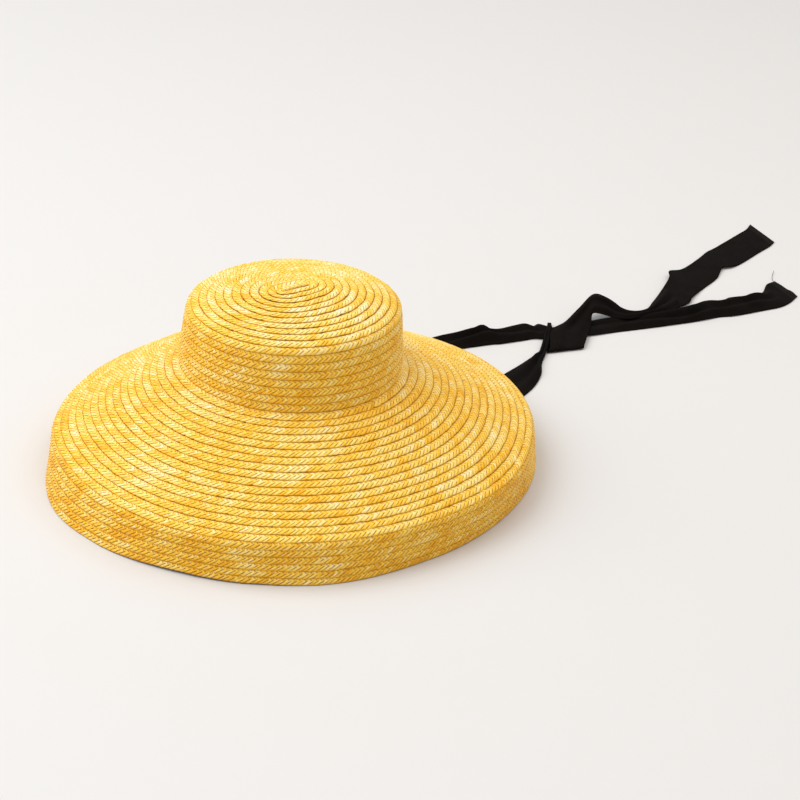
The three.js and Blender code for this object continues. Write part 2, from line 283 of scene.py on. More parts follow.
# each row: place, left edge, right edge, how far the middle stands up, and how high its
# gathers may stand
tieFarSections = [
    ("sewn end", (-0.0931, -0.025, 0.116), (-0.0931, 0.011, 0.116), 0.0013, 0.0),
    ("below the crown", (-0.095, -0.022, 0.092), (-0.095, 0.014, 0.092), 0.0008, 0.001),
    ("half way down", (-0.103, -0.008, 0.052), (-0.089, 0.022, 0.052), 0.0, 0.002),
    ("near the surface", (-0.114, 0.024, 0.012), (-0.078, 0.034, 0.012), 0.0, 0.001),
    ("on the surface", (-0.117, 0.052, 0.0008), (-0.077, 0.055, 0.0008), 0.0, 0.001),
    ("under the brim", (-0.119, 0.125, 0.0008), (-0.079, 0.127, 0.0008), 0.0, 0.001),
    ("under the hem", (-0.12, 0.19, 0.0008), (-0.082, 0.198, 0.0008), 0.0, 0.0004),
    ("past the hem", (-0.12, 0.246, 0.0008), (-0.088, 0.256, 0.0008), 0.0, 0.0016),
    ("gathered", (-0.109, 0.29, 0.0008), (-0.083, 0.282, 0.0008), 0.0025, 0.003),
    ("first pucker", (-0.112, 0.305, 0.0024), (-0.079, 0.297, 0.0008), 0.0024, 0.0024),
    ("after the pucker", (-0.105, 0.308, 0.001), (-0.077, 0.301, 0.0008), 0.0022, 0.0022),
    ("gathered on", (-0.098, 0.334, 0.001), (-0.071, 0.326, 0.0008), 0.0018, 0.002),
    ("small pucker", (-0.095, 0.348, 0.0026), (-0.068, 0.339, 0.0014), 0.001, 0.0014),
    ("before the knot", (-0.087, 0.354, 0.0022), (-0.063, 0.346, 0.002), 0.0005, 0.0008),
    ("into the knot", (-0.088, 0.362, 0.0023), (-0.061, 0.353, 0.0023), 0.0, 0.0004),
    ("in the knot", (-0.075, 0.3695, 0.0023), (-0.057, 0.363, 0.0023), 0.0, 0.0004),
    ("held in the knot", (-0.076, 0.383, 0.0023), (-0.052, 0.375, 0.0023), 0.0, 0.0004),
    ("out of the knot", (-0.07, 0.4, 0.0022), (-0.046, 0.389, 0.0022), 0.0, 0.0006),
    ("past the knot", (-0.066, 0.433, 0.0008), (-0.038, 0.422, 0.0008), 0.0006, 0.0016),
    ("long run", (-0.054, 0.477, 0.0008), (-0.025, 0.469, 0.0008), 0.0008, 0.002),
    ("long run end", (-0.042, 0.524, 0.0008), (-0.014, 0.515, 0.0008), 0.0014, 0.003),
    ("first wave", (-0.043, 0.547, 0.0016), (-0.01, 0.539, 0.0008), 0.0015, 0.002),
    ("first dip", (-0.035, 0.559, 0.0008), (-0.005, 0.552, 0.0008), 0.002, 0.0025),
    ("second wave", (-0.036, 0.58, 0.0014), (-0.001, 0.572, 0.0008), 0.0015, 0.002),
    ("second dip", (-0.03, 0.592, 0.0008), (0.001, 0.585, 0.0008), 0.002, 0.0025),
    ("third wave", (-0.032, 0.605, 0.0014), (0.003, 0.597, 0.0008), 0.0015, 0.0015),
    ("last dip", (-0.028, 0.618, 0.0008), (0.005, 0.611, 0.0008), 0.0012, 0.0012),
    ("last ripple", (-0.039, 0.637, 0.0014), (0.003, 0.627, 0.0008), 0.0006, 0.001),
    ("hemmed end", (-0.041, 0.651, 0.0008), (-0.004, 0.646, 0.0008), 0.0, 0.0004),
]
tieNearSections = [
    ("sewn end", (0.0801, 0.011, 0.116), (0.0801, -0.025, 0.116), 0.0013, 0.0),
    ("below the crown", (0.082, 0.014, 0.092), (0.082, -0.022, 0.092), 0.0008, 0.001),
    ("half way down", (0.077, 0.024, 0.052), (0.091, -0.006, 0.052), 0.0, 0.002),
    ("near the surface", (0.063, 0.04, 0.012), (0.099, 0.034, 0.012), 0.0, 0.001),
    ("on the surface", (0.056, 0.06, 0.0008), (0.093, 0.073, 0.0008), 0.0, 0.001),
    ("under the brim", (0.028, 0.128, 0.0008), (0.065, 0.142, 0.0008), 0.0, 0.001),
    ("under the hem", (-0.011, 0.212, 0.0008), (0.026, 0.226, 0.0008), 0.0, 0.0004),
    ("past the hem", (-0.026, 0.263, 0.0008), (0.007, 0.273, 0.0008), 0.0, 0.0012),
    ("narrowing", (-0.033, 0.29, 0.0008), (-0.008, 0.295, 0.0008), 0.0012, 0.002),
    ("bunched", (-0.04, 0.313, 0.0009), (-0.025, 0.311, 0.001), 0.0012, 0.0018),
    ("pinched", (-0.042, 0.322, 0.002), (-0.0345, 0.3235, 0.002), 0.0006, 0.001),
    ("climbing", (-0.047, 0.329, 0.0032), (-0.043, 0.334, 0.0032), 0.0003, 0.0008),
    ("over the far tie", (-0.0565, 0.34, 0.0041), (-0.053, 0.345, 0.0041), 0.0, 0.0006),
    ("over its edge", (-0.0775, 0.364, 0.0041), (-0.075, 0.367, 0.0041), 0.0, 0.0003),
    ("first turn", (-0.0855, 0.372, 0.00235), (-0.0835, 0.375, 0.00235), 0.0, 0.0),
    ("turned under", (-0.0775, 0.3645, 0.0008), (-0.0745, 0.37, 0.0008), 0.0, 0.0),
    ("under the far tie", (-0.062, 0.35, 0.0008), (-0.054, 0.374, 0.0008), 0.0, 0.0),
    ("out again", (-0.041, 0.332, 0.0008), (-0.03, 0.369, 0.0008), 0.0, 0.0003),
    ("second turn", (-0.038, 0.33, 0.00235), (-0.027, 0.367, 0.00235), 0.0, 0.0),
    ("turned over", (-0.041, 0.335, 0.0039), (-0.031, 0.372, 0.0039), 0.0, 0.0005),
    ("gathered fold", (-0.067, 0.361, 0.0059), (-0.039, 0.382, 0.0042), 0.0, 0.0012),
    ("broad fold", (-0.072, 0.382, 0.0066), (-0.05, 0.395, 0.005), 0.0, 0.0012),
    ("rising", (-0.079, 0.406, 0.0125), (-0.058, 0.405, 0.007), 0.0, 0.0008),
    ("ridge", (-0.085, 0.432, 0.02), (-0.066, 0.414, 0.011), 0.001, 0.0006),
    ("falling", (-0.08, 0.443, 0.016), (-0.063, 0.427, 0.0078), 0.0005, 0.0008),
    ("down", (-0.073, 0.452, 0.0095), (-0.059, 0.435, 0.0048), 0.0, 0.001),
    ("beside the far tie", (-0.064, 0.457, 0.0044), (-0.049, 0.447, 0.0042), 0.0006, 0.0014),
    ("gathered", (-0.056, 0.477, 0.0036), (-0.045, 0.471, 0.0036), 0.001, 0.0016),
    ("fanning out", (-0.066, 0.498, 0.0032), (-0.042, 0.494, 0.0036), 0.001, 0.002),
    ("second panel", (-0.082, 0.527, 0.0044), (-0.044, 0.517, 0.0032), 0.001, 0.0012),
    ("fold back", (-0.098, 0.552, 0.0058), (-0.049, 0.535, 0.0024), 0.001, 0.0004),
    ("corner", (-0.107, 0.56, 0.006), (-0.054, 0.542, 0.0024), 0.001, 0.0003),
    ("last panel", (-0.108, 0.579, 0.003), (-0.065, 0.568, 0.001), 0.001, 0.0006),
    ("creased", (-0.121, 0.618, 0.001), (-0.077, 0.602, 0.001), 0.0005, 0.0006),
    ("ripple", (-0.128, 0.638, 0.0016), (-0.09, 0.624, 0.003), 0.0005, 0.0004),
    ("curled corner", (-0.131, 0.65, 0.001), (-0.088, 0.632, 0.0026), 0.0, 0.0004),
    ("after the corner", (-0.136, 0.669, 0.0008), (-0.089, 0.646, 0.0008), 0.0, 0.0004),
    ("run out", (-0.145, 0.703, 0.0008), (-0.101, 0.692, 0.0008), 0.0005, 0.0003),
    ("hem line", (-0.15, 0.721, 0.0008), (-0.106, 0.712, 0.0008), 0.0, 0.0002),
    ("hemmed end", (-0.157, 0.734, 0.0008), (-0.111, 0.724, 0.0008), 0.0, 0.0002),
]


# Points at the given shares of a smooth line through the points of a table
def smoothLine(points, shares):
    points = np.asarray(points, float)
    points = np.asarray([2 * points[0] - points[1], *points, 2 * points[-1] - points[-2]])
    place = np.clip(shares, 0, 1) * (len(points) - 3)
    first = np.minimum(place.astype(int), len(points) - 4)
    share = (place - first)[:, None]
    before, start, end, after = (points[first + i] for i in range(4))
    stepBefore, step, stepAfter = (
        np.sqrt(np.linalg.norm(b - a, axis=1))[:, None]
        for a, b in ((before, start), (start, end), (end, after))
    )
    leave = ((start - before) / stepBefore - (end - before) / (stepBefore + step)
             + (end - start) / step) * step
    reach = ((end - start) / step - (after - start) / (step + stepAfter)
             + (after - end) / stepAfter) * step
    square, cube = share ** 2, share ** 3
    return ((2 * cube - 3 * square + 1) * start + (cube - 2 * square + share) * leave
            + (3 * square - 2 * cube) * end + (cube - square) * reach)


def unit(vectors):
    return vectors / np.maximum(np.linalg.norm(vectors, axis=-1, keepdims=True), 1e-12)


# Distance covered at each point of a line
def lengthsAlong(points):
    steps = np.linalg.norm(np.diff(points, axis=0), axis=1)
    return np.concatenate([[0], np.cumsum(steps)])


# Quads of a grid of points, rows by columns
def gridQuads(rows, columns):
    here = np.arange(rows * columns).reshape(rows, columns)
    corners = [here[:-1, :-1], here[:-1, 1:], here[1:, 1:], here[1:, :-1]]
    return np.stack(corners, -1).reshape(-1, 4)


# How far each point of a cloth stands up in its gathers, from the height they may have at
# each distance
def gathers(along, across, height, seed):
    folds = clothShape["folds"]
    leanEvery, leanSize = clothShape["lean"]
    varyEvery, varyAcross, varySize = clothShape["vary"]
    crumpleEvery, crumpleAcross, crumpleSize = clothShape["crumple"]
    lift = np.zeros((len(along), len(across)))
    for i, distance in enumerate(along):
        drift = noise.noise(Vector((distance * leanEvery, seed, 0)))
        for j, share in enumerate(across):
            lean = share + leanSize * drift * math.sin(math.pi * share)
            wave = (1 - math.cos(2 * math.pi * folds * lean)) / 2
            vary = 1 + varySize * noise.noise(
                Vector((distance * varyEvery, share * varyAcross, seed + 5)))
            crumple = noise.noise(
                Vector((distance * crumpleEvery, share * crumpleAcross, seed + 9)))
            lift[i, j] = 2 * height[i] * wave * vary + crumpleSize * height[i] * crumple
    return lift


# A tie: cloth over its sections, cut to its flat width and gathered where it is narrower
def clothTie(name, sections, seed, material):
    lefts = [row[1] for row in sections]
    rights = [row[2] for row in sections]
    dense = np.linspace(0, 1, clothShape["measuring"] * len(sections))
    lengths = lengthsAlong((smoothLine(lefts, dense) + smoothLine(rights, dense)) / 2)
    count = int(round(lengths[-1] / clothShape["step"]))
    along = np.linspace(0, lengths[-1], count + 1)
    shares = np.interp(along, lengths, dense)
    left, right = smoothLine(lefts, shares), smoothLine(rights, shares)
    rowPlace = shares * (len(sections) - 1)
    crest = np.interp(rowPlace, np.arange(len(sections)), [row[3] for row in sections])
    room = np.interp(rowPlace, np.arange(len(sections)), [row[4] for row in sections])
    across = np.linspace(0, 1, clothShape["columns"] + 1)
    middle = (left + right) / 2
    up = unit(np.cross(right - left, np.gradient(middle, axis=0)))
    width = np.linalg.norm(right - left, axis=1)
    ratio = np.maximum(clothShape["flatWidth"] / width, 1.0)
    height = np.sqrt(clothShape["fullness"] * (ratio ** 2 - 1)) * width
    height = np.minimum(height / (2 * math.pi * clothShape["folds"]), room)
    lift = gathers(along, across, height, seed) + crest[:, None] * 4 * across * (1 - across)
    points = left[:, None] * (1 - across)[:, None] + right[:, None] * across[:, None]
    points = points + up[:, None] * lift[..., None]
    points[..., 2] = np.maximum(points[..., 2], clothShape["lying"])
    fromEnd = lengths[-1] - along
    uvs = np.stack(np.broadcast_arrays(fromEnd[:, None], across * clothShape["flatWidth"]), -1)
    quads = gridQuads(len(along), len(across))
    piece = meshPiece(name, points.reshape(-1, 3), quads, uvs.reshape(-1, 2), "clothUV", material)
    bpy.context.view_layer.objects.active = piece
    shell = piece.modifiers.new("thickness", "SOLIDIFY")
    shell.thickness = clothShape["thickness"]
    shell.offset = 0
    bpy.ops.object.modifier_apply(modifier=shell.name)
    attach(piece, "root")
    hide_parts(name)
    print("stage:", name, "is", round(lengths[-1], 3), "m long")
    return piece


# A bare thread that has come loose at a corner of a hem, joined to its tie
looseThread = {
    "points": [(-0.0402, 0.6485, 0.0012), (-0.0466, 0.6529, 0.0011), (-0.0516, 0.6586, 0.0010),
               (-0.0556, 0.6638, 0.0012), (-0.0594, 0.6689, 0.0016)],
    "radius": 0.00020,
    "sides": 5,
    "rings": 24,
}


# The thread reads the tie's pattern at its worn end
def joinThread(tie, material):
    line = smoothLine(looseThread["points"], np.linspace(0, 1, looseThread["rings"]))
    ahead = unit(np.gradient(line, axis=0))
    side = unit(np.cross(ahead, (0.0, 0.0, 1.0)))
    above = np.cross(side, ahead)
    turns = np.linspace(0, 2 * math.pi, looseThread["sides"], endpoint=False)[:, None]
    ring = np.cos(turns) * side[:, None] + np.sin(turns) * above[:, None]
    points = line[:, None] + ring * looseThread["radius"]
    thread = tubePiece("thread", points, np.zeros((*points.shape[:2], 2)), "clothUV", material)
    bpy.ops.object.select_all(action="DESELECT")
    thread.select_set(True)
    tie.select_set(True)
    bpy.context.view_layer.objects.active = tie
    bpy.ops.object.join()
    bpy.ops.object.select_all(action="DESELECT")


def cottonFinish():
    look = cottonLook
    finish = Finish("blackCotton")
    fromEnd, across = finish.uv("clothUV")
    threads = look["threads"] * math.pi
    weave = (fromEnd * threads).wave() * (across * threads).wave()
    place = finish.objectPlace()
    dust = finish.noise(place, *look["dust"])
    fine = finish.noise(place, *look["fine"])
    tone = dust * look["dustTone"] + fine * look["fineTone"] + weave * look["weaveTone"]
    colour = finish.ramp(tone, [(look["blackTo"], look["black"]), (look["wornFrom"], look["worn"])])
    # the hem turned up at the free end: its row of stitches, its dusty band and worn edge
    stitches = 1 - finish.smooth((fromEnd - look["hem"]).size(), 0.0, look["stitch"])
    edge = 1 - (fromEnd > look["stitch"])
    band = (1 - (fromEnd > look["hem"])) * (1 - stitches)
    colour = finish.cover(edge * look["endDust"] + band * look["bandDust"], colour, look["hemDust"])
    height = weave * look["weaveHeight"] + fine - stitches * look["stitchHeight"]
    bump = finish.bump(height, look["bumpStrength"], look["bumpDepth"])
    finish.give(base_color=colour, roughness=look["roughness"], normal=bump)
    finish.give(specular_ior_level=look["specular"])
    return finish.material


cotton = cottonFinish()
joinThread(clothTie("tie_far", tieFarSections, 3.0, cotton), cotton)
clothTie("tie_near", tieNearSections, 41.0, cotton)

# Hat form, by the same sections as the CAD's walls
hatShape = {
    "headWidth": 0.188,
    "headLength": 0.194,
    "wallTopWidth": 0.1718,
    "wallTopLength": 0.1896,
    "seamHeight": 0.0974,
    "crownCentre": (-0.0065, -0.0074),
    "creaseWidth": 0.3784,
    "creaseLength": 0.4318,
    "creaseHeight": 0.0368,
    "hemWidth": 0.3818,
    "hemLength": 0.450,
    "tipRows": 12,
    "wallRows": 7,
    "slopeRows": 17,
    "rimRows": 6,
    # the short line that the spiral starts from, and its place beside the crown's centre
    "startHalfLength": 0.013,
    "startSharpness": 0.35,
    "startDrift": (0.0060, -0.0052),
}
# tip and wall: height, share of the way from the head's oval to the wall top's, and share
# of that oval
tipSections = [
    (0.169, 1, 0.0), (0.1689, 1, 0.12), (0.1666, 1, 0.37), (0.1624, 1, 0.6),
    (0.1586, 1, 0.77), (0.1549, 1, 0.89), (0.1512, 1, 0.965), (0.1465, 1, 0.997),
]
wallSections = [
    (0.1465, 1, 0.997), (0.14, 0.85, 1), (0.123, 0.48, 1), (0.104, 0.1, 1), (0.0974, 0, 1),
]
# slope: share of the way to the crease, rise above the straight slope
slopeSections = [
    (0, 0), (0.012, -0.0014), (0.045, -0.0012), (0.12, -0.0002), (0.32, 0.0004),
    (0.54, 0.0006), (0.76, 0.0005), (0.93, 0.0002), (0.99, -0.0006),
]
# rim: share of the way down from the crease to the hem
rimSections = [0.1, 0.5, 1]
# rows of braid down to the end of the crown, of the slope and of the rim
crownEnd = hatShape["tipRows"] + hatShape["wallRows"]
slopeEnd = crownEnd + hatShape["slopeRows"]
hemRow = slopeEnd + hatShape["rimRows"]
# brim waves: angle, crease outward, hem outward, crease rise, hem lift, in millimetres
brimWave = [
    (-180, 2, -1, -2, 0), (-150, 2.6, -3, -1.8, 0), (-125, 2.4, -1.5, -1, 0),
    (-98, -1.8, 3.4, 0, 0), (-82, -1.8, 1, 0, 0.4), (-60, 1, -0.8, 0, 2), (-42, 2, 1.6, 0, 1),
    (-25, 1.6, 4.4, 0, 0), (0, 0.5, -0.4, 0, 0), (24, 4, -1.6, 0.6, 0), (50, 0.8, 0, 1.2, 0),
    (80, 1, 0, 2, 2.4), (130, 0, 0, 0.6, 2.4), (155, 0, 0, -1, 0), (180, 2, -1, -2, 0),
]


# Smooth curve through knots that doesn't swing past them
def smoothCurve(knots, values, places):
    knots, values = np.asarray(knots, float), np.asarray(values, float)
    steps = np.diff(knots)
    secants = np.diff(values) / steps
    slopes = np.concatenate([[secants[0]], np.zeros(len(knots) - 2), [secants[-1]]])
    same = secants[:-1] * secants[1:] > 0
    before, after = secants[:-1][same], secants[1:][same]
    slopes[1:-1][same] = 2 * before * after / (before + after)
    index = np.clip(np.searchsorted(knots, places) - 1, 0, len(steps) - 1)
    share = np.clip((places - knots[index]) / steps[index], 0, 1)
    start, end = values[index], values[index + 1]
    leave, reach = slopes[index] * steps[index], slopes[index + 1] * steps[index]
    return (start * (1 + 2 * share) * (1 - share) ** 2 + leave * share * (1 - share) ** 2
            + end * share ** 2 * (3 - 2 * share) + reach * share ** 2 * (share - 1))


def blendNumbers(first, second, share):
    return first + (second - first) * share


# Knots of the hat's form, one for each section: the row of braid that lies there, half the
# width and length of the oval, how far its centre is the crown's, its height, and how much
# it takes of each column of the brim's waves
def hatKnots():
    shape = hatShape
    knots = []

    def crownKnot(height, taper, reach):
        halfWidth = blendNumbers(shape["headWidth"], shape["wallTopWidth"], taper) / 2 * reach
        halfLength = blendNumbers(shape["headLength"], shape["wallTopLength"], taper) / 2 * reach
        return [halfWidth, halfLength, 1, height, 0, 0, 0, 0]

    def slopeKnot(across, rise):
        halfWidth = blendNumbers(shape["headWidth"], shape["creaseWidth"], across) / 2
        halfLength = blendNumbers(shape["headLength"], shape["creaseLength"], across) / 2
        height = blendNumbers(shape["seamHeight"], shape["creaseHeight"], across) + rise
        return [halfWidth, halfLength, 1 - across, height, across ** 2, 0, across ** 2, 0]

    def rimKnot(down):
        halfWidth = blendNumbers(shape["creaseWidth"], shape["hemWidth"], down) / 2
        halfLength = blendNumbers(shape["creaseLength"], shape["hemLength"], down) / 2
        height = shape["creaseHeight"] * (1 - down)
        return [halfWidth, halfLength, 0, height, 1 - down, down, 1 - down, down]

    zones = [
        ([crownKnot(*section) for section in tipSections], shape["tipRows"]),
        ([crownKnot(*section) for section in wallSections], shape["wallRows"]),
        ([slopeKnot(*section) for section in slopeSections], shape["slopeRows"]),
        ([slopeKnot(*slopeSections[-1])] + [rimKnot(down) for down in rimSections],
         shape["rimRows"]),
    ]
    rowStart = 0
    for zone, rowCount in zones:
        zone = np.asarray(zone, float)
        steps = np.hypot(np.diff(zone[:, 0]), np.diff(zone[:, 3]))
        rows = rowStart + np.concatenate([[0], np.cumsum(steps)]) / steps.sum() * rowCount
        keep = zone if not knots else zone[1:]
        knots.extend([row, *values] for row, values in zip(rows[-len(keep):], keep))
        rowStart += rowCount
    return np.asarray(knots)


knots = hatKnots()
waveTable = np.asarray(brimWave, float)


# How far one column of the waves moves the brim at a turn, in metres
def waveAt(column, turn):
    degrees = (np.degrees(turn) + 180) % 360 - 180
    angles = waveTable[:, 0]
    index = np.clip(np.searchsorted(angles, degrees, side="right") - 1, 0, len(angles) - 2)
    share = (degrees - angles[index]) / (angles[index + 1] - angles[index])
    share = share * share * (3 - 2 * share)
    return blendNumbers(waveTable[index, column], waveTable[index + 1, column], share) * 0.001


# Point of the straw's outer surface at a row of braid and a turn of the hat. The rows of
# the tip start from a short line, which lies a little aside from the crown's middle.
def hatPoint(row, turn):
    columns = [smoothCurve(knots[:, 0], knots[:, i], row) for i in range(1, 9)]
    halfWidth, halfLength, centred, height, crease, hem, rise, lift = columns
    push = crease * waveAt(1, turn) + hem * waveAt(2, turn)
    height = height + rise * waveAt(3, turn) + lift * waveAt(4, turn)
    reach = np.clip(halfLength / (hatShape["wallTopLength"] / 2), 0, 1)
    sharp = hatShape["startSharpness"]
    start = np.sin(turn) / np.sqrt(np.sin(turn) ** 2 + sharp ** 2) * math.sqrt(1 + sharp ** 2)
    inner = (1 - reach) * (row < crownEnd)
    driftX, driftY = hatShape["startDrift"]
    stretch = hatShape["startHalfLength"] * inner * start
    x = hatShape["crownCentre"][0] * centred + (halfWidth + push) * np.cos(turn) + driftX * inner
    y = (hatShape["crownCentre"][1] * centred + (halfLength + push) * np.sin(turn) + stretch
         + driftY * inner)
    return np.stack([x, y, height], -1)


# Direction straight out of that surface
def hatNormal(row, turn):
    turnStep, rowStep = 0.004, 0.02
    around = hatPoint(row, turn + turnStep) - hatPoint(row, turn - turnStep)
    down = hatPoint(row + rowStep, turn) - hatPoint(np.maximum(row - rowStep, 0), turn)
    normal = np.cross(down, around)
    size = np.linalg.norm(normal, axis=-1, keepdims=True)
    flat = np.array([0.0, 0.0, 1.0])
    return np.where(size > 1e-9, normal / np.maximum(size, 1e-12), flat)


# Straw braid, sewn round and round from the middle of the tip to the hem
braid = {
    "width": 0.009,
    "strandPitch": 0.0045,
    "strandJitter": 0.13,
    "strandRelief": 0.00042,
    "reliefSpread": (0.75, 1.2),
    "strandWobble": 0.00008,
    "edgeScallop": 0.0006,
    "edgeWobble": 0.0002,
    "edgeSway": 0.00022,
    "swayWaves": [(17, 0, 0.5), (41, 2, 0.3)],  # how often, where it starts, how much
    "startAngle": -162,
    "startRow": 0.02,
    "shiftFrom": 0.65,  # share of a turn that runs level
    "evenLead": 0.6,  # rows ahead of the turns in the even winding
    # last turn and length of the even winding's fade, and of the wide first turn's
    "evenFade": (4.5, 3.5),
    "closingFade": (1.2, 0.2),
    "evenEdgeFrom": hemRow - 0.5,
    "tuckFrom": hemRow - 1,
    "tuckDepth": 0.0011,
    "aboveFloor": 0.0003,
    "seed": 7,
    # name, first turn, last turn, CAD piece
    "pieces": [
        ("straw_crown", 0, crownEnd, "crown"),
        ("straw_brim_inner", crownEnd, 29.2, "brim"),
        ("straw_brim_outer", 29.2, slopeEnd, "brim"),
        ("straw_rim", slopeEnd, hemRow, "brim"),
    ],
}
# row, distance from row to row
rowPitch = np.array([
    (0, 0.0075), (11, 0.0075), (13, 0.0072), (35, 0.0072), (37, 0.0062), (hemRow, 0.0062),
])
# across the braid, closed loop: share across, depth below the hat's form, share of the
# strands' relief, how far the strands have run along by there, and 1 on the under side
braidLoop = [
    (0.00, 0.00145, 0.0, -0.0030, 0),
    (0.27, 0.00080, 0.7, -0.0054, 0),
    (0.44, 0.00036, 1.0, -0.0036, 0),
    (0.60, 0.00014, 1.0, -0.0050, 0),
    (0.78, 0.00008, 1.0, -0.0072, 0),
    (0.90, 0.00020, 0.7, -0.0087, 0),
    (1.00, 0.00050, 0.4, -0.0092, 0),
    (0.62, 0.00160, -0.4, -0.0040, 1),
    (0.20, 0.00205, -0.4, -0.0015, 1),
]
# along one strand: share of the pitch and height of its rounded back
strandProfile = [(0.0, 0.0), (0.10, 0.52), (0.30, 0.86), (0.54, 1.0), (0.78, 0.93), (0.93, 0.60)]


# 1 in the first turns, and 0 from the last turn of a fade on
def earlyTurns(turns, fade):
    last, length = fade
    return np.clip((last - turns) / length, 0, 1)


# Row reached by the lower edge of the braid after so many turns. Each turn runs level for
# two thirds of the way and moves down one row at the far side, and the first turns wind
# evenly out from the middle.
def rowAfter(turns):
    whole = np.floor(turns)
    share = np.clip((turns - whole - braid["shiftFrom"]) / (1 - braid["shiftFrom"]), 0, 1)
    stepped = whole + 1 + share * share * (3 - 2 * share)
    even = earlyTurns(turns, braid["evenFade"])
    return np.minimum(blendNumbers(stepped, turns + braid["evenLead"], even), hemRow)


def turnAngle(turns):
    return math.radians(braid["startAngle"]) + 2 * math.pi * turns


# The braid's middle line, as turns and the length at each, one point to a degree
def braidLine():
    turns = np.linspace(0, hemRow, hemRow * 360 + 1)
    middle = hatPoint(np.maximum(rowAfter(turns) - 0.5, braid["startRow"]), turnAngle(turns))
    return turns, lengthsAlong(middle)


lineTurns, lineLengths = braidLine()
print("stage: braid is", round(float(lineLengths[-1]), 2), "m long")


# Number of the strand that lies at a turn of the braid
def strandAt(turn):
    return float(np.interp(turn, lineTurns, lineLengths)) / braid["strandPitch"]


# Stretch of the braid between two turns: the loop across it, run along its strands
def braidPiece(name, firstTurn, lastTurn, material, node):
    chance = np.random.default_rng(int(firstTurn * 10) + braid["seed"])
    firstStrand = int(strandAt(firstTurn))
    strands = int(strandAt(lastTurn)) - firstStrand
    jitter = chance.uniform(-braid["strandJitter"], braid["strandJitter"], strands + 1)
    starts = (np.arange(strands + 1) + firstStrand + jitter) * braid["strandPitch"]
    shares, heights = np.array(strandProfile).T
    along = (starts[:-1, None] + np.diff(starts)[:, None] * shares).ravel()
    size = chance.uniform(*braid["reliefSpread"], strands)
    relief = (heights * size[:, None]).ravel()
    lobes = (np.arange(strands)[:, None] + firstStrand + shares).ravel()
    loop = np.asarray(braidLoop)
    wobble = np.interp(along, starts, chance.normal(0, 1, strands + 1))
    sway = sum(np.sin(along * often + phase) * much for often, phase, much in braid["swayWaves"])
    distance = np.clip(along[:, None] + loop[:, 3], 0, lineLengths[-1])
    turns = np.interp(distance, lineLengths, lineTurns)
    edge = rowAfter(turns)
    perRow = np.interp(edge, rowPitch[:, 0], rowPitch[:, 1])
    onLip = loop[:, 0] > 0.9
    scallop = (relief[:, None] * braid["edgeScallop"] * onLip
               + braid["edgeWobble"] * wobble[:, None] + braid["edgeSway"] * sway[:, None])
    lower = edge + scallop / perRow * (edge < braid["evenEdgeFrom"])
    # the first turn is wide enough to close the middle of the tip
    reach = braid["width"] / perRow
    missing = np.maximum(lower - braid["startRow"] - reach, 0)
    reach = reach + missing * earlyTurns(turns, braid["closingFade"])
    row = np.clip(lower - (1 - loop[:, 0]) * reach, braid["startRow"], hemRow)
    angle = turnAngle(turns)
    # the last turn slips under the one before it
    tuck = np.clip(edge - rowAfter(np.maximum(turns - 1, 0)), 0, 1)
    tuck = np.where(turns > braid["tuckFrom"], 1 - tuck, 0) * braid["tuckDepth"]
    depth = loop[:, 1] + tuck - relief[:, None] * loop[:, 2] * braid["strandRelief"]
    depth = depth + braid["strandWobble"] * wobble[:, None]
    points = hatPoint(row, angle) - hatNormal(row, angle) * depth[..., None]
    points[..., 2] = np.maximum(points[..., 2], braid["aboveFloor"])
    uvs = np.stack(np.broadcast_arrays(lobes[:, None], loop[:, 0] + loop[:, 4]), -1)
    piece = tubePiece(name, points, uvs, "braidUV", material)
    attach(piece, "root")
    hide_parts(node)
    print("stage:", name, "has", (len(along) - 1) * len(loop) * 2, "triangles")


